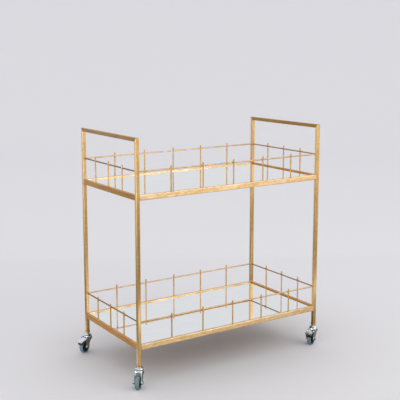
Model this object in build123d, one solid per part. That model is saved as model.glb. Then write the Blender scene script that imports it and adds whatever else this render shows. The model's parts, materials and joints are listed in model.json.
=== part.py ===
from build123d import *
import math
import os

# A two-tray bar cart on four swivel casters.
# The origin is on the floor under the middle of the frame: X to the right, Y to the back, Z up.

# Overall sizes of the frame
WIDTH = 779.0
DEPTH = 400.0
HEIGHT = 838.0

# Tubes of the frame
TUBE = 12.7
TUBE_WALL = 1.2
TUBE_CORNER = 1.8
RAIL_HEIGHT = 18.0
UPPER_RAIL_TOP = 651.5
LOWER_RAIL_TOP = 146.0

# Galleries: the rods stand inside the pickets and just touch them
ROD_DIAMETER = 4.8
ROD_RISE = 76.0
PICKET_DIAMETER = 4.8
PICKET_ABOVE_ROD = 12.0
PICKET_EDGE = 0.8
PICKETS_ALONG_WIDTH = 5
PICKETS_ALONG_DEPTH = 3
WELD_GAP = 0.01

# Tray floors, measured down from the top of the rails
MIRROR_RECESS = 4.0
MIRROR_THICKNESS = 4.0
MIRROR_EDGE = 0.6
BOARD_THICKNESS = 3.0
LEDGE_THICKNESS = 3.0
LEDGE_WIDTH = 12.0
TRAY_CLEARANCE = 1.0

# Leg inserts
COLLAR_SIDE = 14.6
COLLAR_CORNER = 3.0
COLLAR_EDGE = 0.6
COLLAR_BOTTOM = 71.0
COLLAR_TOP = 80.0
PLUG_CLEARANCE = 0.1
PLUG_LENGTH = 24.0

# Casters
WHEEL_RADIUS = 22.5
TRAIL = 20.0
TYRE_WIDTH = 15.0
TYRE_SHOULDER = 2.4
TYRE_INNER_RADIUS = 19.4
TREAD_LINE_WIDTH = 1.6
TREAD_LINE_DEPTH = 0.5
RIM_WIDTH = 14.2
RIM_INNER_RADIUS = 16.0
WEB_WIDTH = 7.0
WEB_DRAFT = 0.8
HUB_RADIUS = 7.0
HUB_WIDTH = 22.0
FORK_GAP = 22.4
FORK_WALL = 2.2
CROWN_TOP = 63.0
CROWN_BOTTOM = 47.0
CROWN_WIDTH = 30.0
CROWN_FRONT = -14.4
CROWN_BACK_PLAIN = 22.0
CROWN_BACK_BRAKED = 15.0
CROWN_CORNER = 11.0
CROWN_EDGE = 7.0
LEG_EYE_RADIUS = 7.5
LEG_ROOT_RADIUS = 4.0
LEG_ROOT_FRONT = -3.0
LEG_ROOT_BACK = 16.0
LEG_ROOT_HEIGHT = 56.0
RACE_BOTTOM = 65.6
RACE_TOP = 69.0
RACE_RADIUS = 15.0
RACE_LIP = 1.2
RACE_WALL = 1.5
BALL_RADIUS = 1.6
BALL_RING_RADIUS = 9.5
BALL_COUNT = 12
GROOVE_RADIUS = 1.75
STEM_RADIUS = 4.0
STEM_TOP = 98.0
STEM_CHAMFER = 0.8
STEM_HOLE_ROOM = 2.0
SHOULDER_RADIUS = 7.6
RIVET_RADIUS = 6.5
RIVET_HEIGHT = 2.6
RIVET_EDGE = 1.3
RIVET_CLEARANCE = 0.12
RUNNING_CLEARANCE = 0.05

# Axles
AXLE_RADIUS = 3.0
SLEEVE_RADIUS = 4.0
HEX_SIDE_TO_SIDE = 10.0
HEX_FACE_RADIUS = 4.8
HEX_CHAMFER = 0.7
BOLT_HEAD = 4.0
NUT_HEIGHT = 5.0
BOLT_PAST_NUT = 1.6

# Brakes, in each caster's own plane: along the trail, then up
PIVOT_BACK = 21.0
PIVOT_HEIGHT = 52.0
PIVOT_EAR_RADIUS = 5.0
PIN_RADIUS = 2.0
PIN_HEAD_RADIUS = 3.4
PIN_HEAD_HEIGHT = 1.2
PEDAL_SLOPE = 14.0
PEDAL_TRAVEL = 5.5
PEDAL_TOP = 3.2
PEDAL_SHEET = 1.8
PEDAL_FRONT = -3.5
PEDAL_LENGTH = 29.0
PEDAL_NECK = 22.0
PEDAL_NECK_END = 6.0
PEDAL_FLARE_END = 12.0
PEDAL_TIP_WIDTH = 26.0
PEDAL_TIP_CORNER = 5.0
PEDAL_SKIRT = 3.6
KNUCKLE_RADIUS = 3.6
SHOE_WIDTH = 19.6
SHOE_FRONT = 12.2
SHOE_BACK = 26.2
SHOE_LIP = 26.4
SHOE_DEPTH = 14.0
SHOE_CLEARANCE = 0.4

# Where each caster stands and which way its wheel trails, in degrees from +X
TRAIL_ANGLES = {
    "front_left": -132.0,
    "front_right": 205.0,
    "back_left": 205.0,
    "back_right": 30.0,
}
BRAKED = ("back_left", "front_right")

POST_X = (WIDTH - TUBE) / 2
POST_Y = (DEPTH - TUBE) / 2
SPAN_X = WIDTH - 2 * TUBE
SPAN_Y = DEPTH - 2 * TUBE
POST_PLACES = {
    "front_left": (-POST_X, -POST_Y),
    "front_right": (POST_X, -POST_Y),
    "back_left": (-POST_X, POST_Y),
    "back_right": (POST_X, POST_Y),
}
TRAYS = {"upper": UPPER_RAIL_TOP, "lower": LOWER_RAIL_TOP}
FORK_WIDTH = FORK_GAP + 2 * FORK_WALL
CROWN_UNDER = CROWN_TOP - FORK_WALL


def save(name, shape):
    """Write one piece, or one group of equal pieces, to its own file."""
    export_step(shape, os.path.join("parts", name + ".step"))


def group(solids):
    """Keep equal pieces as separate solids in one group."""
    return Compound(children=list(solids))


def tube_section(width, height):
    """A rectangular tube's section with rounded corners."""
    inner_corner = TUBE_CORNER - TUBE_WALL
    outer = RectangleRounded(width, height, TUBE_CORNER)
    inner = RectangleRounded(width - 2 * TUBE_WALL, height - 2 * TUBE_WALL, inner_corner)
    return outer - inner


def tube_x(length, y, z, height):
    """A tube along X, centred on x = 0."""
    plane = Plane(origin=(-length / 2, y, z), x_dir=(0, 1, 0), z_dir=(1, 0, 0))
    return extrude(plane * tube_section(TUBE, height), amount=length)


def tube_y(length, x, z, height):
    """A tube along Y, centred on y = 0."""
    plane = Plane(origin=(x, -length / 2, z), x_dir=(-1, 0, 0), z_dir=(0, 1, 0))
    return extrude(plane * tube_section(TUBE, height), amount=length)


def mitre_plane(front):
    """The 45 degree plane between a handle bar and a front or back post, facing the bar."""
    side = -1 if front else 1
    return Plane(origin=(0, side * DEPTH / 2, HEIGHT), z_dir=(0, -side, 1))


def post(place):
    """A square tube post, mitred at the top."""
    x, y = POST_PLACES[place]
    section = Pos(x, y, COLLAR_TOP) * tube_section(TUBE, TUBE)
    tube = extrude(section, amount=HEIGHT - COLLAR_TOP)
    return split(tube, bisect_by=mitre_plane(y < 0), keep=Keep.BOTTOM)


def handle_bar(side):
    """A square tube handle bar, mitred at both ends."""
    bar = tube_y(DEPTH, side * POST_X, HEIGHT - TUBE / 2, TUBE)
    for front in (True, False):
        bar = split(bar, bisect_by=mitre_plane(front), keep=Keep.TOP)
    return bar


def rod(start, end, diameter):
    """A round rod from one point to another."""
    start = Vector(*start)
    along = Vector(*end) - start
    plane = Plane(origin=start, z_dir=along)
    return extrude(plane * Circle(diameter / 2), amount=along.length)


def gallery_rods(rail_top):
    """Four straight rods between the posts, just inside the middle of the rails."""
    z = rail_top + ROD_RISE
    inset = ROD_DIAMETER / 2 + WELD_GAP
    x = POST_X - inset
    y = POST_Y - inset
    rods = []
    for side in (-1, 1):
        rods.append(rod((-SPAN_X / 2, side * y, z), (SPAN_X / 2, side * y, z), ROD_DIAMETER))
        rods.append(rod((side * x, -SPAN_Y / 2, z), (side * x, SPAN_Y / 2, z), ROD_DIAMETER))
    return group(rods)


def gallery_pickets(rail_top):
    """Upright pickets at even steps along each rail, just outside its middle."""
    top = rail_top + ROD_RISE + PICKET_ABOVE_ROD
    outset = PICKET_DIAMETER / 2 + WELD_GAP
    step_x = 2 * POST_X / (PICKETS_ALONG_WIDTH + 1)
    step_y = 2 * POST_Y / (PICKETS_ALONG_DEPTH + 1)
    feet = []
    for side in (-1, 1):
        for i in range(1, PICKETS_ALONG_WIDTH + 1):
            feet.append((i * step_x - POST_X, side * (POST_Y + outset)))
        for i in range(1, PICKETS_ALONG_DEPTH + 1):
            feet.append((side * (POST_X + outset), i * step_y - POST_Y))
    pickets = []
    for x, y in feet:
        picket = rod((x, y, rail_top), (x, y, top), PICKET_DIAMETER)
        pickets.append(chamfer(picket.edges().sort_by(Axis.Z)[-1], PICKET_EDGE))
    return group(pickets)


def plate(width, depth, top, thickness):
    """A flat plate in the middle of the frame, from its top downwards."""
    return Pos(0, 0, top - thickness / 2) * Box(width, depth, thickness)


def mirror_glass(rail_top):
    """The mirror glass of a tray, with eased edges."""
    width = SPAN_X - 2 * TRAY_CLEARANCE
    depth = SPAN_Y - 2 * TRAY_CLEARANCE
    glass = plate(width, depth, rail_top - MIRROR_RECESS, MIRROR_THICKNESS)
    rim = glass.faces().sort_by(Axis.Z)[-1].edges()
    return chamfer(rim, MIRROR_EDGE)


def backing_board(rail_top):
    """The board between the mirror glass and the ledges."""
    top = rail_top - MIRROR_RECESS - MIRROR_THICKNESS
    width = SPAN_X - 2 * TRAY_CLEARANCE
    return plate(width, SPAN_Y - 2 * TRAY_CLEARANCE, top, BOARD_THICKNESS)


def tray_ledges(rail_top):
    """Flat strips on the inner faces of the rails that carry a tray's floor."""
    z = rail_top - MIRROR_RECESS - MIRROR_THICKNESS - BOARD_THICKNESS - LEDGE_THICKNESS / 2
    y = (SPAN_Y - LEDGE_WIDTH) / 2
    x = (SPAN_X - LEDGE_WIDTH) / 2
    between = SPAN_Y - 2 * LEDGE_WIDTH
    strips = []
    for side in (-1, 1):
        strips.append(Pos(0, side * y, z) * Box(SPAN_X, LEDGE_WIDTH, LEDGE_THICKNESS))
        strips.append(Pos(side * x, 0, z) * Box(LEDGE_WIDTH, between, LEDGE_THICKNESS))
    return group(strips)


def leg_insert():
    """A collar under a post's tube and a plug inside it, with a hole for the stem."""
    outline = RectangleRounded(COLLAR_SIDE, COLLAR_SIDE, COLLAR_CORNER)
    collar = extrude(Pos(0, 0, COLLAR_BOTTOM) * outline, amount=COLLAR_TOP - COLLAR_BOTTOM)
    levels = collar.edges().group_by(Axis.Z)
    collar = chamfer(levels[0] + levels[-1], COLLAR_EDGE)
    side = TUBE - 2 * TUBE_WALL - 2 * PLUG_CLEARANCE
    plug = extrude(Pos(0, 0, COLLAR_TOP) * RectangleRounded(side, side, TUBE_CORNER), amount=PLUG_LENGTH)
    depth = STEM_TOP - COLLAR_BOTTOM + STEM_HOLE_ROOM
    hole = extrude(Pos(0, 0, COLLAR_BOTTOM) * Circle(STEM_RADIUS), amount=depth)
    return collar + plug - hole


def spun(points):
    """A solid turned about Z from the points of its half section."""
    outline = Plane.XZ * make_face(Polyline(*points, close=True))
    return revolve(outline, axis=Axis.Z)


def ball_groove():
    """The ring-shaped groove that the balls run in."""
    z = (RACE_BOTTOM + CROWN_TOP) / 2
    return Pos(0, 0, z) * Torus(BALL_RING_RADIUS, GROOVE_RADIUS)


def caster_stem():
    """Shank in the insert, shoulder under the collar, and the kingpin with its riveted end."""
    rivet_top = CROWN_UNDER - RIVET_CLEARANCE
    rivet_bottom = rivet_top - RIVET_HEIGHT
    return spun([
        (0, rivet_bottom),
        (RIVET_RADIUS - RIVET_EDGE, rivet_bottom),
        (RIVET_RADIUS, rivet_bottom + RIVET_EDGE),
        (RIVET_RADIUS, rivet_top),
        (STEM_RADIUS, rivet_top),
        (STEM_RADIUS, RACE_TOP),
        (SHOULDER_RADIUS, RACE_TOP),
        (SHOULDER_RADIUS, COLLAR_BOTTOM),
        (STEM_RADIUS, COLLAR_BOTTOM),
        (STEM_RADIUS, STEM_TOP - STEM_CHAMFER),
        (STEM_RADIUS - STEM_CHAMFER, STEM_TOP),
        (0, STEM_TOP),
    ])


def upper_race():
    """The domed race above the balls, with its rim turned down outside them."""
    lip = RACE_BOTTOM - RACE_LIP
    rim = RACE_RADIUS - RACE_WALL
    crest = (SHOULDER_RADIUS, RACE_TOP)
    under = Polyline((RACE_RADIUS, lip), (rim, lip), (rim - RACE_LIP, RACE_BOTTOM),
                     (STEM_RADIUS, RACE_BOTTOM), (STEM_RADIUS, RACE_TOP), crest)
    dome = TangentArc(crest, (RACE_RADIUS, lip), tangent=(1, 0))
    outline = Plane.XZ * make_face(under.edges() + dome.edges())
    return revolve(outline, axis=Axis.Z) - ball_groove()


def balls():
    """The balls between the upper race and the fork's crown."""
    z = (RACE_BOTTOM + CROWN_TOP) / 2
    for i in range(BALL_COUNT):
        yield Rot(0, 0, 360 * i / BALL_COUNT) * Pos(BALL_RING_RADIUS, 0, z) * Sphere(BALL_RADIUS)


def across_fork(sketch, width):
    """Extrude a side outline, drawn along the trail and up, evenly across the caster."""
    return extrude(Plane.XZ * sketch, amount=width / 2, both=True)


def across_axle(radius, width):
    """A cylinder on the wheel's axle."""
    return across_fork(Pos(TRAIL, WHEEL_RADIUS) * Circle(radius), width)


def fork_crown(back):
    """The pressed bell of the fork, from just ahead of the kingpin to a given back end."""
    foot = Pos((back + CROWN_FRONT) / 2, 0, CROWN_BOTTOM)
    skins = []
    for inset in (0, FORK_WALL):
        length = back - CROWN_FRONT - 2 * inset
        plan = RectangleRounded(length, CROWN_WIDTH - 2 * inset, CROWN_CORNER - inset)
        skin = extrude(foot * plan, amount=CROWN_TOP - inset - CROWN_BOTTOM)
        skins.append(fillet(skin.faces().sort_by(Axis.Z)[-1].edges(), CROWN_EDGE - inset))
    outside, inside = skins
    return outside - inside


def fork_leg_outline(braked):
    """The outline of the fork's legs: an eye at the axle, roots at the crown, ears at the brake."""
    eye = Pos(TRAIL, WHEEL_RADIUS) * Circle(LEG_EYE_RADIUS)
    front = Pos(LEG_ROOT_FRONT, LEG_ROOT_HEIGHT) * Circle(LEG_ROOT_RADIUS)
    back = Pos(LEG_ROOT_BACK, LEG_ROOT_HEIGHT) * Circle(LEG_ROOT_RADIUS)
    if braked:
        back = Pos(PIVOT_BACK, PIVOT_HEIGHT) * Circle(PIVOT_EAR_RADIUS)
    return make_hull(eye.edges() + front.edges() + back.edges())


def fork(braked):
    """The pressed fork: crown, legs, and the holes for its pins."""
    back = CROWN_BACK_BRAKED if braked else CROWN_BACK_PLAIN
    outline = fork_leg_outline(braked)
    legs = across_fork(outline, FORK_WIDTH) - across_fork(outline, FORK_GAP)
    body = fork_crown(back) + legs
    kingpin_hole = Circle(STEM_RADIUS + RUNNING_CLEARANCE)
    body -= extrude(Pos(0, 0, CROWN_TOP) * kingpin_hole, amount=2 * FORK_WALL, both=True)
    body -= across_axle(AXLE_RADIUS, 2 * FORK_WIDTH)
    if braked:
        body -= across_fork(Pos(PIVOT_BACK, PIVOT_HEIGHT) * Circle(PIN_RADIUS), 2 * FORK_WIDTH)
    return body - ball_groove()


def on_axle(section):
    """A solid turned about the axle from a half section: radius, then place across the caster."""
    turned = revolve(Plane.XZ * section, axis=Axis.Z)
    return Pos(TRAIL, 0, WHEEL_RADIUS) * Rot(90, 0, 0) * turned


def hexagon(seat, end):
    """A hexagonal head on the axle, from its seat on the fork to its chamfered outer end."""
    shape = RegularPolygon(HEX_SIDE_TO_SIDE / 2, 6, major_radius=False)
    head = across_fork(Pos(TRAIL, WHEEL_RADIUS) * shape, abs(end - seat))
    head = Pos(0, (seat + end) / 2, 0) * head
    reach = HEX_SIDE_TO_SIDE / math.sqrt(3) + HEX_CHAMFER
    edge = end - math.copysign(HEX_CHAMFER, end)
    cone = Polyline(
        (0, -seat), (reach, -seat), (reach, -edge), (HEX_FACE_RADIUS, -end), (0, -end), close=True)
    return head & on_axle(make_face(cone))


def axle_bolt():
    """A hexagon bolt through the fork and the sleeve."""
    half = FORK_WIDTH / 2
    end = half + NUT_HEIGHT + BOLT_PAST_NUT
    shank = Pos(0, (half - end) / 2, 0) * across_axle(AXLE_RADIUS, half + end)
    return shank + hexagon(half, half + BOLT_HEAD)


def axle_nut():
    """The hexagon nut on the axle bolt."""
    half = FORK_WIDTH / 2
    return hexagon(-half, -half - NUT_HEIGHT) - across_axle(AXLE_RADIUS, 4 * FORK_WIDTH)


def axle_sleeve():
    """The sleeve clamped between the fork's legs, which the wheel turns on."""
    return across_axle(SLEEVE_RADIUS, FORK_GAP) - across_axle(AXLE_RADIUS, 2 * FORK_GAP)


def wheel_core():
    """Hub, web and rim of a wheel."""
    bore = SLEEVE_RADIUS + RUNNING_CLEARANCE
    hub = HUB_WIDTH / 2
    web = WEB_WIDTH / 2
    rim = RIM_WIDTH / 2
    one_side = [
        (bore, hub),
        (HUB_RADIUS, hub),
        (HUB_RADIUS + WEB_DRAFT, web),
        (RIM_INNER_RADIUS - WEB_DRAFT, web),
        (RIM_INNER_RADIUS, rim),
        (TYRE_INNER_RADIUS, rim),
    ]
    other_side = [(radius, -across) for radius, across in reversed(one_side)]
    return on_axle(make_face(Polyline(*one_side, *other_side, close=True)))


def tyre():
    """A tyre with rounded shoulders and a shallow line round the middle of its tread."""
    half = TYRE_WIDTH / 2
    line = TREAD_LINE_WIDTH / 2
    floor = WHEEL_RADIUS - TREAD_LINE_DEPTH
    flat = half - TYRE_SHOULDER
    slant = TYRE_SHOULDER * (1 - math.sqrt(0.5))
    outline = Polyline((WHEEL_RADIUS - TYRE_SHOULDER, half), (TYRE_INNER_RADIUS, half),
                       (TYRE_INNER_RADIUS, -half), (WHEEL_RADIUS - TYRE_SHOULDER, -half))
    low = ThreePointArc((WHEEL_RADIUS - TYRE_SHOULDER, -half),
                        (WHEEL_RADIUS - slant, -half + slant), (WHEEL_RADIUS, -flat))
    tread = Polyline((WHEEL_RADIUS, -flat), (WHEEL_RADIUS, -line), (floor, -line),
                     (floor, line), (WHEEL_RADIUS, line), (WHEEL_RADIUS, flat))
    high = ThreePointArc((WHEEL_RADIUS, flat), (WHEEL_RADIUS - slant, half - slant),
                         (WHEEL_RADIUS - TYRE_SHOULDER, half))
    return on_axle(make_face(outline.edges() + low.edges() + tread.edges() + high.edges()))


def pedal_place():
    """From the pedal's own frame, with its pin at the origin, to its caster at rest."""
    return Pos(PIVOT_BACK, 0, PIVOT_HEIGHT) * Rot(0, PEDAL_SLOPE, 0)


def pedal_plan(margin):
    """The pedal's plan: a neck between the fork's legs that flares to a rounded tip."""
    neck = PEDAL_NECK / 2 - margin
    tip = PEDAL_TIP_WIDTH / 2 - margin
    end = PEDAL_LENGTH - margin
    front = PEDAL_FRONT - margin
    plan = make_face(Polyline(
        (front, -neck), (PEDAL_NECK_END, -neck), (PEDAL_FLARE_END, -tip), (end, -tip),
        (end, tip), (PEDAL_FLARE_END, tip), (PEDAL_NECK_END, neck), (front, neck), close=True))
    return fillet(plan.vertices().group_by(Axis.X)[-1], PEDAL_TIP_CORNER - margin)


def brake_pedal():
    """A pressed pedal: a sloping sheet with its edges turned down and a knuckle on each side."""
    bottom = PEDAL_TOP - PEDAL_SKIRT
    block = extrude(Pos(0, 0, bottom) * pedal_plan(0), amount=PEDAL_SKIRT)
    hollow = extrude(Pos(0, 0, bottom) * pedal_plan(PEDAL_SHEET), amount=PEDAL_SKIRT - PEDAL_SHEET)
    ear = Pos(0, PEDAL_TOP / 2) * Rectangle(2 * KNUCKLE_RADIUS, PEDAL_TOP)
    above = Pos(0, PEDAL_TOP + KNUCKLE_RADIUS) * Rectangle(4 * KNUCKLE_RADIUS, 2 * KNUCKLE_RADIUS)
    outline = Circle(KNUCKLE_RADIUS) + ear - above
    knuckles = across_fork(outline, PEDAL_NECK) - across_fork(outline, PEDAL_NECK - 2 * PEDAL_SHEET)
    bore = across_fork(Circle(PIN_RADIUS + RUNNING_CLEARANCE), 2 * PEDAL_NECK)
    return pedal_place() * (block - hollow + knuckles - bore)


def pedal_pin():
    """The rivet through the fork's ears that the pedal turns on."""
    pin = across_fork(Circle(PIN_RADIUS), FORK_WIDTH)
    for side in (-1, 1):
        head = across_fork(Circle(PIN_HEAD_RADIUS), PIN_HEAD_HEIGHT)
        pin += Pos(0, side * (FORK_WIDTH + PIN_HEAD_HEIGHT) / 2, 0) * head
    return Pos(PIVOT_BACK, 0, PIVOT_HEIGHT) * pin


def brake_shoe():
    """The shoe under the pedal, hollowed to lie round the tyre when the pedal is down."""
    top = PEDAL_TOP - PEDAL_SHEET
    down = math.radians(PEDAL_SLOPE + PEDAL_TRAVEL)
    back = TRAIL - PIVOT_BACK
    drop = WHEEL_RADIUS - PIVOT_HEIGHT
    wheel_x = back * math.cos(down) - drop * math.sin(down)
    wheel_z = back * math.sin(down) + drop * math.cos(down)
    bottom = top - SHOE_DEPTH
    block = make_face(Polyline(
        (SHOE_FRONT, top), (SHOE_LIP, top), (SHOE_BACK, bottom), (SHOE_FRONT, bottom), close=True))
    wheel = Pos(wheel_x, wheel_z) * Circle(WHEEL_RADIUS + SHOE_CLEARANCE)
    return pedal_place() * across_fork(block - wheel, SHOE_WIDTH)


os.makedirs("parts", exist_ok=True)

for place in POST_PLACES:
    save("post_" + place, post(place))
save("handle_bar_left", handle_bar(-1))
save("handle_bar_right", handle_bar(1))

for tray, rail_top in TRAYS.items():
    rail_z = rail_top - RAIL_HEIGHT / 2
    save(tray + "_rail_front", tube_x(SPAN_X, -POST_Y, rail_z, RAIL_HEIGHT))
    save(tray + "_rail_back", tube_x(SPAN_X, POST_Y, rail_z, RAIL_HEIGHT))
    save(tray + "_rail_left", tube_y(SPAN_Y, -POST_X, rail_z, RAIL_HEIGHT))
    save(tray + "_rail_right", tube_y(SPAN_Y, POST_X, rail_z, RAIL_HEIGHT))
    save(tray + "_gallery_rods", gallery_rods(rail_top))
    save(tray + "_gallery_pickets", gallery_pickets(rail_top))
    save(tray + "_mirror", mirror_glass(rail_top))
    save(tray + "_backing_board", backing_board(rail_top))
    save(tray + "_ledges", tray_ledges(rail_top))

casters = {place: Pos(*POST_PLACES[place], 0) * Rot(0, 0, TRAIL_ANGLES[place]) for place in POST_PLACES}
save("leg_inserts", group(Pos(*spot, 0) * leg_insert() for spot in POST_PLACES.values()))
save("caster_stems", group(caster * caster_stem() for caster in casters.values()))
save("caster_races", group(caster * upper_race() for caster in casters.values()))
save("caster_balls", group(caster * ball for caster in casters.values() for ball in balls()))

for place, caster in casters.items():
    save("fork_" + place, caster * fork(place in BRAKED))
    save("axle_bolt_" + place, caster * axle_bolt())
    save("axle_nut_" + place, caster * axle_nut())
    save("axle_sleeve_" + place, caster * axle_sleeve())
    save("wheel_core_" + place, caster * wheel_core())
    save("tyre_" + place, caster * tyre())

for place in BRAKED:
    save("brake_pedal_" + place, casters[place] * brake_pedal())
    save("pedal_pin_" + place, casters[place] * pedal_pin())
    save("brake_shoe_" + place, casters[place] * brake_shoe())
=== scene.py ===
import bpy
import json
import math
from mathutils import Matrix, Vector


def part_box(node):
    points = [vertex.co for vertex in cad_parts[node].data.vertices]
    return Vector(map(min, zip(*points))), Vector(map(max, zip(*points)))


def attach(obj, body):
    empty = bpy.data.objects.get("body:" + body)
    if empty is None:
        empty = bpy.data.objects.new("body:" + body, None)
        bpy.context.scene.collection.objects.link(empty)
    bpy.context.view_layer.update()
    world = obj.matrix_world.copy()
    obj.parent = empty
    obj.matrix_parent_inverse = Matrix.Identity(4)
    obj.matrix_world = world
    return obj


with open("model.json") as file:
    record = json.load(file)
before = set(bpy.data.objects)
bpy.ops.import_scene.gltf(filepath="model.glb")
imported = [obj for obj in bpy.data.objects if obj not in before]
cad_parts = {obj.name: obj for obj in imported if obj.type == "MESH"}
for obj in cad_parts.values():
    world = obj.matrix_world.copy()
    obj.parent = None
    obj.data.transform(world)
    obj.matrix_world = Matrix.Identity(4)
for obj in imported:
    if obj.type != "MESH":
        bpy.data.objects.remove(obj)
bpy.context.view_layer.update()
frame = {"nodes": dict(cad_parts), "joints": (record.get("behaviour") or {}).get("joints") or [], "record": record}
nodes = frame["nodes"]
joints = {joint["name"]: joint for joint in frame["joints"]}
PLACES = ("front_left", "front_right", "back_left", "back_right")
TRAYS = ("upper", "lower")

# Camera, worked out from the photograph's perspective: metres, with the lens in mm and turns in degrees
CAMERA_PLACE = (-1.6597, -2.4413, 1.1329)
CAMERA_LENS = 73.20
CAMERA_SENSOR = 36.0
CAMERA_YAW = 31.077
CAMERA_PITCH = 8.709
CAMERA_ROLL = -0.433
CAMERA_SHIFT_X = 0.1057
CAMERA_SHIFT_Y = -0.0776


def add_camera():
    """Stands the camera where the photograph was taken from."""
    data = bpy.data.cameras.new("photo_camera")
    data.sensor_width = CAMERA_SENSOR
    data.lens = CAMERA_LENS
    data.shift_x = CAMERA_SHIFT_X
    data.shift_y = CAMERA_SHIFT_Y
    camera = bpy.data.objects.new("photo_camera", data)
    bpy.context.scene.collection.objects.link(camera)
    yaw, pitch, roll = (math.radians(a) for a in (CAMERA_YAW, CAMERA_PITCH, CAMERA_ROLL))
    forward = Vector((math.sin(yaw) * math.cos(pitch), math.cos(yaw) * math.cos(pitch), -math.sin(pitch)))
    level = Vector((math.cos(yaw), -math.sin(yaw), 0))
    above = level.cross(forward)
    right = math.cos(roll) * level + math.sin(roll) * above
    up = math.cos(roll) * above - math.sin(roll) * level
    turn = Matrix((right, up, -forward)).transposed().to_4x4()
    camera.matrix_world = Matrix.Translation(CAMERA_PLACE) @ turn
    bpy.context.scene.camera = camera


# Materials

# Gold leaf: the fineness of its pattern along the grain as a share of that across it, the fineness of the
# brush marks, the slant and fineness of the pale rubs, and the weight of the varnish
LENGTHWAYS = 0.3
BRUSH_MARKS = 1100.0
RUB_SLANT = (math.radians(35), math.radians(38), math.radians(30))
RUB_FINENESS = (60, 190, 190)
VARNISH = 0.45

# The brush marks' tint of the leaf, from the dark strokes to the bright ones
STROKES = ((0.25, (0.76, 0.71, 0.66)), (0.5, (0.97, 0.97, 0.97)), (0.75, (1.08, 1.10, 1.16)))

# Each member's direction of grain and its deep, middle and pale leaf. These differ from member to member as
# painted light and shade: lit and shaded copies of one gold leaf. The rods also have a painted darker shade,
# for those at the ends of the cart
PAINTED_LIGHT_GOLDS = {
    "rail_along": ("X", (0.58, 0.385, 0.165), (0.71, 0.515, 0.27), (0.84, 0.70, 0.50)),
    "rail_across": ("Y", (0.50, 0.22, 0.020), (0.60, 0.275, 0.033), (0.68, 0.35, 0.065)),
    "handle": ("Y", (0.36, 0.175, 0.025), (0.43, 0.22, 0.040), (0.50, 0.28, 0.075)),
    "post": ("Z", (0.67, 0.41, 0.125), (0.76, 0.50, 0.195), (0.85, 0.64, 0.36)),
    "picket": ("", (0.54, 0.285, 0.075), (0.64, 0.37, 0.12), (0.73, 0.47, 0.20)),
    "rod": ("", (0.50, 0.31, 0.13), (0.59, 0.39, 0.19), (0.68, 0.49, 0.29), (0.30, 0.15, 0.035)),
}

# Distance from the middle of the cart over which the long rods' colour gives way to the painted shade of the end
# rods
END_RODS = (0.3775, 0.3795)

# Half the width of the dusty band round a tyre, where it starts to fade and where it ends
DUST_BAND = (0.0012, 0.0038)


def set_stops(ramp, stops):
    """Gives a colour ramp its stops, each a position and a colour."""
    elements = ramp.color_ramp.elements
    while len(elements) < len(stops):
        elements.new(0.5)
    for element, (position, colour) in zip(elements, stops):
        element.position = position
        element.color = (*colour, 1.0)


class NodeBoard:
    """A material's node tree with short ways to add and join its nodes."""

    def __init__(self, name):
        self.material = bpy.data.materials.new(name)
        self.material.use_nodes = True
        self.tree = self.material.node_tree
        self.shader = self.tree.nodes["Principled BSDF"]
        self.place = self.add("ShaderNodeTexCoord").outputs["Object"]

    def add(self, kind, **settings):
        node = self.tree.nodes.new(kind)
        for key, value in settings.items():
            setattr(node, key, value)
        return node

    def join(self, source, target):
        self.tree.links.new(source, target)

    def mapping(self, scale=(1, 1, 1), location=(0, 0, 0), rotation=(0, 0, 0)):
        node = self.add("ShaderNodeMapping")
        node.inputs["Scale"].default_value = scale
        node.inputs["Location"].default_value = location
        node.inputs["Rotation"].default_value = rotation
        self.join(self.place, node.inputs["Vector"])
        return node.outputs["Vector"]

    def noise(self, place, scale, detail=4.0, roughness=0.55, distortion=0.0):
        node = self.add("ShaderNodeTexNoise")
        node.inputs["Scale"].default_value = scale
        node.inputs["Detail"].default_value = detail
        node.inputs["Roughness"].default_value = roughness
        node.inputs["Distortion"].default_value = distortion
        self.join(place, node.inputs["Vector"])
        return node.outputs["Fac"]

    def ramp(self, value, *stops):
        node = self.add("ShaderNodeValToRGB")
        set_stops(node, stops)
        self.join(value, node.inputs["Fac"])
        return node.outputs["Color"]

    def spread(self, value, low, high, to_low, to_high):
        node = self.add("ShaderNodeMapRange")
        for name, number in (("From Min", low), ("From Max", high), ("To Min", to_low), ("To Max", to_high)):
            node.inputs[name].default_value = number
        self.join(value, node.inputs["Value"])
        return node.outputs["Result"]

    def off_middle(self, place):
        """How far a place is from x = 0, to either side."""
        split = self.add("ShaderNodeSeparateXYZ")
        self.join(place, split.inputs["Vector"])
        distance = self.add("ShaderNodeMath", operation="ABSOLUTE")
        self.join(split.outputs["X"], distance.inputs[0])
        return distance.outputs["Value"]

    def blend(self, first, second, share, mode="MIX"):
        node = self.add("ShaderNodeMix", data_type="RGBA", blend_type=mode)
        colours = [s for s in node.inputs if s.type == "RGBA"]
        self.join(first, colours[0])
        self.join(second, colours[1])
        factor = node.inputs["Factor"]
        if isinstance(share, float):
            factor.default_value = share
        else:
            self.join(share, factor)
        return next(s for s in node.outputs if s.type == "RGBA")

    def bump(self, height, strength, distance):
        node = self.add("ShaderNodeBump")
        node.inputs["Strength"].default_value = strength
        node.inputs["Distance"].default_value = distance
        self.join(height, node.inputs["Height"])
        self.join(node.outputs["Normal"], self.shader.inputs["Normal"])

    def feed(self, **sockets):
        for name, source in sockets.items():
            self.join(source, self.shader.inputs[name.replace("_", " ")])

    def fix(self, **sockets):
        for name, value in sockets.items():
            self.shader.inputs[name.replace("_", " ")].default_value = value


def brush_grain(board, grain):
    """Spreads the shine of the leaf across the direction that it was brushed in."""
    tangent = board.add("ShaderNodeTangent", direction_type="RADIAL", axis=grain)
    board.feed(Tangent=tangent.outputs["Tangent"])
    board.fix(Anisotropic=0.75)


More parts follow.
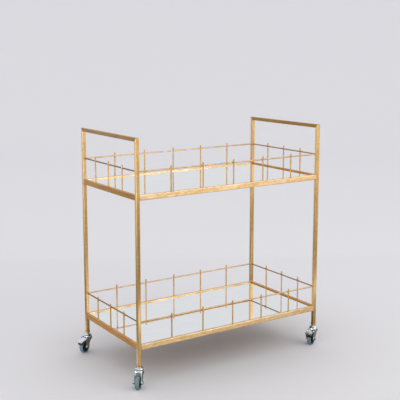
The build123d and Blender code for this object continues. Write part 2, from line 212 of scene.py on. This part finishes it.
def gold_leaf(name, grain, deep, middle, pale, ends=None):
    """Antique gold leaf under varnish: soft mottling, slanting pale rubs, fine brush marks and worn specks.

    A painted shade for the ends of the cart, if there is one, darkens the leaf on the pieces that run between
    its left or right posts.
    """
    board = NodeBoard(name)
    stretch = tuple(LENGTHWAYS if axis == grain else 1.0 for axis in "XYZ")
    mottle = board.noise(board.mapping(scale=stretch), 42.0, detail=6.0, roughness=0.62, distortion=0.6)
    slant = board.mapping(scale=RUB_FINENESS, rotation=RUB_SLANT)
    rubs = board.noise(slant, 1.0, detail=5.0, roughness=0.6, distortion=0.4)
    brushed = board.noise(board.mapping(scale=tuple(BRUSH_MARKS * s for s in stretch)), 1.0, detail=4.0)
    worn = board.noise(board.place, 230.0, detail=7.0, roughness=0.7)
    leaf = board.ramp(mottle, (0.30, deep), (0.5, middle), (0.72, pale))
    rubbed = board.ramp(mottle, (0.2, pale), (0.8, tuple(min(1.0, 1.12 * c) for c in pale)))
    colour = board.blend(leaf, rubbed, board.spread(rubs, 0.50, 0.68, 0.0, 0.85))
    strokes = board.ramp(brushed, *STROKES)
    specks = board.ramp(worn, (0.30, (0.50, 0.42, 0.34)), (0.40, (1.0, 1.0, 1.0)))
    colour = board.blend(colour, strokes, 0.8, "MULTIPLY")
    colour = board.blend(colour, specks, 0.7, "MULTIPLY")
    # Painted shade: the rods at the cart's ends get darker leaf
    if ends:
        painted_end_shade = board.ramp(mottle, (0.3, tuple(0.8 * c for c in ends)), (0.7, ends))
        colour = board.blend(colour, painted_end_shade, board.spread(board.off_middle(board.place), *END_RODS, 0.0, 1.0))
    board.feed(Base_Color=colour, Roughness=board.spread(mottle, 0.3, 0.7, 0.44, 0.32))
    board.bump(worn, 0.10, 0.0004)
    board.fix(Metallic=1.0, Coat_Weight=VARNISH, Coat_Roughness=0.14)
    if grain:
        brush_grain(board, grain)
    return board.material


def mirror_glass():
    """Silvered glass, almost clear of dust."""
    board = NodeBoard("mirror_glass")
    dust = board.noise(board.place, 18.0, detail=5.0, roughness=0.6)
    board.feed(Roughness=board.spread(dust, 0.35, 0.75, 0.012, 0.045))
    board.feed(Base_Color=board.ramp(dust, (0.3, (0.86, 0.885, 0.895)), (0.7, (0.90, 0.915, 0.92))))
    board.fix(Metallic=1.0)
    return board.material


def hardboard():
    """Raw tan fibre board."""
    board = NodeBoard("hardboard")
    fine = board.mapping(scale=(300, 300, 300))
    fibres = board.noise(fine, 1.0, detail=6.0, roughness=0.7, distortion=1.0)
    board.feed(Base_Color=board.ramp(fibres, (0.3, (0.24, 0.16, 0.095)), (0.7, (0.40, 0.29, 0.19))))
    board.bump(fibres, 0.3, 0.0004)
    board.fix(Roughness=0.72)
    return board.material


def bright_zinc(name, shade):
    """Bright zinc plate with faint cloudy variation."""
    board = NodeBoard(name)
    clouds = board.noise(board.place, 90.0, detail=5.0, roughness=0.6)
    fine = board.noise(board.place, 1400.0, detail=3.0)
    pale = tuple(shade * c for c in (0.82, 0.87, 0.90))
    deep = tuple(shade * c for c in (0.60, 0.66, 0.70))
    board.feed(Base_Color=board.ramp(clouds, (0.3, deep), (0.65, pale)))
    board.feed(Roughness=board.spread(clouds, 0.3, 0.7, 0.26, 0.14))
    board.bump(fine, 0.05, 0.0002)
    board.fix(Metallic=1.0)
    return board.material


def black_plastic():
    """Moulded black plastic of the wheel cores."""
    board = NodeBoard("black_plastic")
    grain = board.noise(board.place, 1600.0, detail=2.0)
    board.feed(Base_Color=board.ramp(grain, (0.3, (0.010, 0.011, 0.011)), (0.7, (0.024, 0.025, 0.024))))
    board.bump(grain, 0.12, 0.0002)
    board.fix(Roughness=0.46)
    return board.material


def black_rubber():
    """Dull black rubber of the brake shoes."""
    board = NodeBoard("black_rubber")
    grain = board.noise(board.place, 900.0, detail=3.0)
    board.feed(Base_Color=board.ramp(grain, (0.3, (0.007, 0.007, 0.007)), (0.7, (0.018, 0.018, 0.018))))
    board.bump(grain, 0.2, 0.0002)
    board.fix(Roughness=0.75)
    return board.material


def tyre_rubber(place):
    """Blue-grey rubber with a dusty band worn round the middle of the tread."""
    joint = joints["roll_" + place]
    axle = Vector(joint["axis"])
    turn = math.atan2(axle.y, axle.x)
    middle = Matrix.Rotation(-turn, 3, "Z") @ Vector(joint["pos_m"])
    board = NodeBoard("tyre_rubber_" + place)
    along_axle = board.mapping(location=-middle, rotation=(0, 0, -turn))
    band = board.spread(board.off_middle(along_axle), *DUST_BAND, 0.62, 0.0)
    smears = board.noise(board.place, 220.0, detail=5.0, roughness=0.65)
    rubber = board.ramp(smears, (0.3, (0.105, 0.225, 0.285)), (0.7, (0.175, 0.32, 0.39)))
    dusty = board.ramp(smears, (0.3, (0.28, 0.29, 0.25)), (0.7, (0.42, 0.41, 0.35)))
    board.feed(Base_Color=board.blend(rubber, dusty, band))
    board.feed(Roughness=board.spread(smears, 0.3, 0.7, 0.42, 0.6))
    board.bump(smears, 0.1, 0.0003)
    return board.material


def gold_shade(node_name):
    """Which copy of the gold leaf, with its painted light or shade and its direction of brushing, a member of the
    frame has.
    """
    if node_name.startswith("post_"):
        return "post"
    if node_name.startswith("handle_bar"):
        return "handle"
    if node_name.endswith(("rail_front", "rail_back")):
        return "rail_along"
    if node_name.endswith(("rail_left", "rail_right")):
        return "rail_across"
    return "rod" if node_name.endswith("_rods") else "picket"


def paint(target, material):
    """Gives an object one material."""
    target.data.materials.clear()
    target.data.materials.append(material)


def paint_cad_nodes():
    """Gives each carried-over piece the finish of its slot."""
    slots = {row["node"]: row["material_slot"] for row in frame["record"]["subparts"]}
    # Lit and shaded copies of one gold leaf, one for each kind of member, as painted light and shade
    painted_light_golds = {shade: gold_leaf("gold_leaf_" + shade, *recipe) for shade, recipe in PAINTED_LIGHT_GOLDS.items()}
    plain = {
        "mirror_glass": mirror_glass(),
        "backing_board": hardboard(),
        "bright_zinc": bright_zinc("bright_zinc", 1.0),
        "steel_fasteners": bright_zinc("steel_fasteners", 0.88),
        "black_wheel": black_plastic(),
        "brake_rubber": black_rubber(),
    }
    tyres = {"tyre_" + place: tyre_rubber(place) for place in PLACES}
    for name, target in nodes.items():
        slot = slots[name]
        if slot == "gold_leaf":
            paint(target, painted_light_golds[gold_shade(name)])
        elif slot == "grey_tyre":
            paint(target, tyres[name])
        else:
            paint(target, plain[slot])


# Welds of the gallery and of the rails, in metres

ROD_RADIUS = 0.0024
PICKETS_ALONG_WIDTH = 5
PICKETS_ALONG_DEPTH = 3
COLLAR_SIDES = 16
COLLAR_FOOT = 0.0036
COLLAR_SINK = 0.0008
# How far each step of a collar rises, and what share of its width it keeps
COLLAR_STEPS = ((0.00035, 0.86), (0.00045, 0.87), (0.0008, 0.90))
TACK_SIZE = 0.0056
TACK_FLATNESS = 0.5
FILLET_LEG = 0.0022
FILLET_SINK = 0.0004
FILLET_LENGTH = 0.0092
FILLET_HOLLOW = 0.1
SMOOTH_UNDER = math.radians(50)


def start_piece(add_primitive, **settings):
    """Adds a primitive with nothing else selected, puts its place in its mesh and opens it for editing."""
    bpy.ops.object.select_all(action="DESELECT")
    add_primitive(**settings)
    bpy.ops.object.transform_apply(location=True, rotation=True, scale=True)
    bpy.ops.object.mode_set(mode="EDIT")
    return bpy.context.object


def select_faces(piece, wanted):
    """Selects the faces of the opened piece that pass a test."""
    bpy.ops.mesh.select_mode(type="FACE")
    bpy.ops.mesh.select_all(action="DESELECT")
    bpy.ops.object.mode_set(mode="OBJECT")
    for face in piece.data.polygons:
        face.select = wanted(face)
    bpy.ops.object.mode_set(mode="EDIT")


def select_edges(piece, wanted):
    """Selects the edges of the opened piece whose two ends pass a test."""
    bpy.ops.mesh.select_mode(type="EDGE")
    bpy.ops.mesh.select_all(action="DESELECT")
    bpy.ops.object.mode_set(mode="OBJECT")
    for edge in piece.data.edges:
        edge.select = all(wanted(piece.data.vertices[i].co) for i in edge.vertices)
    bpy.ops.object.mode_set(mode="EDIT")


def end_weld(weld):
    """Ends the editing of a weld and smooths its shading."""
    bpy.ops.object.mode_set(mode="OBJECT")
    bpy.ops.object.shade_smooth_by_angle(angle=SMOOTH_UNDER)
    return weld


def weld_collar():
    """A small flared weld that closes in upwards round the rod it holds."""
    collar = start_piece(bpy.ops.mesh.primitive_cylinder_add, vertices=COLLAR_SIDES, radius=COLLAR_FOOT,
                         depth=COLLAR_SINK, location=(0, 0, -COLLAR_SINK / 2))
    select_faces(collar, lambda face: face.normal.z > 0.9)
    for rise, narrowing in COLLAR_STEPS:
        bpy.ops.mesh.extrude_region_move(TRANSFORM_OT_translate={"value": (0, 0, rise)})
        bpy.ops.transform.resize(value=(narrowing, narrowing, 1), center_override=(0, 0, 0))
    return end_weld(collar)


def tack_weld():
    """A flattened bead between a rod and the picket that crosses it."""
    bead = start_piece(bpy.ops.mesh.primitive_cube_add, size=TACK_SIZE)
    bpy.ops.mesh.subdivide(number_cuts=2, smoothness=0.5)
    bpy.ops.transform.resize(value=(1, TACK_FLATNESS, 1), center_override=(0, 0, 0))
    return end_weld(bead)


def corner_fillet():
    """A hollow fillet in the corner between a post, at x = 0, and a rail's top, at z = 0."""
    side = FILLET_LEG + FILLET_SINK
    middle = (FILLET_LEG - FILLET_SINK) / 2
    fillet = start_piece(bpy.ops.mesh.primitive_cube_add, size=1, location=(middle, 0, middle),
                         scale=(side, FILLET_LENGTH, side))
    select_edges(fillet, lambda end: end.x > middle and end.z > middle)
    bpy.ops.mesh.bevel(offset=FILLET_LEG, segments=5, profile=FILLET_HOLLOW)
    return end_weld(fillet)


def place_welds(weld, name, placements):
    """Copies a modelled weld to each placement and joins the copies into one piece of the frame."""
    bpy.ops.object.select_all(action="DESELECT")
    for placement in placements:
        copy = bpy.data.objects.new(name, weld.data.copy())
        bpy.context.scene.collection.objects.link(copy)
        copy.matrix_world = placement
        copy.select_set(True)
    bpy.data.objects.remove(weld)
    bpy.context.view_layer.objects.active = copy
    bpy.context.view_layer.update()
    bpy.ops.object.join()
    bpy.ops.object.transform_apply(location=True, rotation=True, scale=True)
    copy.name = name
    paint(copy, bpy.data.materials["gold_leaf_picket"])
    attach(copy, "frame")


def towards(place, direction):
    """A placement whose upright axis points in a direction."""
    return Matrix.Translation(place) @ Vector(direction).to_track_quat("Z", "Y").to_matrix().to_4x4()


def even_steps(half, count):
    """Evenly spaced places between two posts that stand half a span either side."""
    step = 2 * half / (count + 1)
    return [i * step - half for i in range(1, count + 1)]


def corner_post():
    """The innermost corner and the middle of the back right post."""
    inner, outer = (Vector(corner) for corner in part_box("post_back_right"))
    return inner, (inner + outer) / 2


def gallery_welds(tray):
    """The welds at a gallery's pickets' feet, at their crossings with the rods, and at the rods' ends."""
    inner, post = corner_post()
    low, high = (Vector(corner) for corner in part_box(tray + "_gallery_pickets"))
    picket_x, picket_y = high.x - ROD_RADIUS, high.y - ROD_RADIUS
    rod_high = Vector(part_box(tray + "_gallery_rods")[1])
    rod_x, rod_y, rod_z = rod_high.x - ROD_RADIUS, rod_high.y - ROD_RADIUS, rod_high.z - ROD_RADIUS
    sideways = Matrix.Rotation(math.radians(90), 4, "Z")
    feet, tacks, ends = [], [], []
    for side in (-1, 1):
        for x in even_steps(post.x, PICKETS_ALONG_WIDTH):
            feet.append(Matrix.Translation((x, side * picket_y, low.z)))
            tacks.append(Matrix.Translation((x, side * post.y, rod_z)))
        for y in even_steps(post.y, PICKETS_ALONG_DEPTH):
            feet.append(Matrix.Translation((side * picket_x, y, low.z)))
            tacks.append(Matrix.Translation((side * post.x, y, rod_z)) @ sideways)
        for end in (-1, 1):
            ends.append(towards((end * inner.x, side * rod_y, rod_z), (-end, 0, 0)))
            ends.append(towards((side * rod_x, end * inner.y, rod_z), (0, -end, 0)))
    place_welds(weld_collar(), tray + "_picket_welds", feet)
    place_welds(tack_weld(), tray + "_crossing_welds", tacks)
    place_welds(weld_collar(), tray + "_rod_end_welds", ends)


def rail_welds(tray):
    """The fillets above and below the ends of a tray's rails, where they meet the posts."""
    inner, post = corner_post()
    low, high = (Vector(corner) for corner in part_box(tray + "_rail_front"))
    flipped = Matrix.Rotation(math.radians(180), 4, "X")
    places = []
    for height, flip in ((high.z, Matrix.Identity(4)), (low.z, flipped)):
        for side in (-1, 1):
            for end in (-1, 1):
                turn_along = Matrix.Rotation(math.radians(90 + 90 * end), 4, "Z")
                turn_across = Matrix.Rotation(math.radians(-90 * end), 4, "Z")
                along = Matrix.Translation((end * inner.x, side * post.y, height))
                across = Matrix.Translation((side * post.x, end * inner.y, height))
                places += [along @ turn_along @ flip, across @ turn_across @ flip]
    place_welds(corner_fillet(), tray + "_rail_welds", places)


# Studio, in metres

STUDIO_SPAN = 16.0
WALL_HEIGHT = 7.0
WALL_SWEEP = 3.0
FLOOR_COLOUR = (0.90, 0.895, 0.915)
CARD_FRONT = 6.0
CARD_BACK = 1.3
CARD_WIDTH = 12.0
CARD_LIFT = 0.0005
CARD_COLOUR = (0.22, 0.195, 0.16)

# The room's colour straight down, level and straight up
ROOM = ((0.0, (0.60, 0.60, 0.62)), (0.5, (0.76, 0.765, 0.79)), (1.0, (0.84, 0.84, 0.86)))

# Each light's place, the point that it faces, its width, height, watts and colour, and whether it lights
# the floor too or shows in the metal and glass alone
SOFTBOX = ((1.25, -1.95, 1.75), (0, 0, 0.45), 1.5, 1.2)
SOFTBOX_COLOUR = (1.0, 0.97, 0.93)
LIGHTS = {
    "panel_left": ((-2.0, -0.25, 0.5), (0, -0.1, 0.6), 1.0, 0.95, 13.5, (0.86, 0.95, 1.0), False),
    "softbox_right": (*SOFTBOX, 18.5, SOFTBOX_COLOUR, False),
    "softbox_fill": (*SOFTBOX, 7.5, SOFTBOX_COLOUR, True),
    "low_panel_right": ((1.17, -1.80, 0.42), (0, 0, 0.42), 1.5, 0.8, 3.6, (1.0, 0.70, 0.38), False),
    "floor_strip": ((0.30, -0.68, 0.05), (0.30, 0, 0.09), 1.5, 0.09, 0.60, (1.0, 0.94, 0.84), False),
    "floor_patch_left": ((-0.5, 0.2, 0.004), (-0.5, 0.2, 1), 0.14, 0.80, 0.28, (1.0, 0.92, 0.84), False),
    "floor_patch_front": ((-0.2, -0.42, 0.004), (-0.2, -0.42, 1), 0.40, 0.14, 0.08, (1.0, 0.90, 0.80), False),
}


def plain_material(name, colour, roughness):
    """A plain surface for the studio itself."""
    material = bpy.data.materials.new(name)
    material.use_nodes = True
    shader = material.node_tree.nodes["Principled BSDF"]
    shader.inputs["Base Color"].default_value = (*colour, 1.0)
    shader.inputs["Roughness"].default_value = roughness
    return material


def studio_floor():
    """A wide pale floor that curves up far behind the cart into a pale wall."""
    floor = start_piece(bpy.ops.mesh.primitive_plane_add, size=STUDIO_SPAN)
    floor.name = "studio_floor"
    select_edges(floor, lambda end: end.y > 0)
    bpy.ops.mesh.extrude_region_move(TRANSFORM_OT_translate={"value": (0, 0, WALL_HEIGHT)})
    select_edges(floor, lambda end: end.y > 0 and end.z == 0)
    bpy.ops.mesh.bevel(offset=WALL_SWEEP, segments=16)
    bpy.ops.object.mode_set(mode="OBJECT")
    bpy.ops.object.shade_smooth()
    floor.rotation_euler.z = -math.radians(CAMERA_YAW)
    paint(floor, plain_material("pale_floor", FLOOR_COLOUR, 0.9))
    floor.visible_glossy = False


def dark_floor_card():
    """A dark card on the floor that only shows in the gold, the zinc and the glass."""
    turn = Matrix.Rotation(-math.radians(CAMERA_YAW), 4, "Z")
    bpy.ops.object.select_all(action="DESELECT")
    bpy.ops.mesh.primitive_plane_add(size=1)
    card = bpy.context.object
    card.name = "dark_floor_card"
    card.scale = (CARD_WIDTH, CARD_FRONT + CARD_BACK, 1)
    card.location = turn @ Vector((0, (CARD_BACK - CARD_FRONT) / 2, CARD_LIFT))
    card.rotation_euler.z = -math.radians(CAMERA_YAW)
    paint(card, plain_material("dark_card", CARD_COLOUR, 0.6))
    card.visible_camera = False
    card.visible_diffuse = False
    card.visible_shadow = False


def studio_light(name, place, target, width, height, power, colour, on_floor):
    """A soft rectangular light that faces a point, and lights the floor or shows in gloss alone."""
    data = bpy.data.lights.new(name, "AREA")
    data.shape = "RECTANGLE"
    data.size = width
    data.size_y = height
    data.energy = power
    data.color = colour
    light = bpy.data.objects.new(name, data)
    bpy.context.scene.collection.objects.link(light)
    light.location = place
    light.rotation_mode = "QUATERNION"
    light.rotation_quaternion = (Vector(target) - Vector(place)).to_track_quat("-Z", "Y")
    light.visible_camera = False
    light.visible_diffuse = on_floor


def studio_world():
    """A pale room above the horizon and a darker one below it."""
    world = bpy.data.worlds.new("studio_world")
    bpy.context.scene.world = world
    world.use_nodes = True
    tree = world.node_tree
    place = tree.nodes.new("ShaderNodeTexCoord")
    split = tree.nodes.new("ShaderNodeSeparateXYZ")
    ramp = tree.nodes.new("ShaderNodeValToRGB")
    height = tree.nodes.new("ShaderNodeMapRange")
    height.inputs["From Min"].default_value = -1.0
    set_stops(ramp, ROOM)
    tree.links.new(place.outputs["Generated"], split.inputs["Vector"])
    tree.links.new(split.outputs["Z"], height.inputs["Value"])
    tree.links.new(height.outputs["Result"], ramp.inputs["Fac"])
    tree.links.new(ramp.outputs["Color"], tree.nodes["Background"].inputs["Color"])


add_camera()
paint_cad_nodes()
for tray in TRAYS:
    gallery_welds(tray)
    rail_welds(tray)
studio_floor()
dark_floor_card()
studio_world()
for light_name, recipe in LIGHTS.items():
    studio_light(light_name, *recipe)
bpy.context.scene.view_settings.view_transform = "Standard"
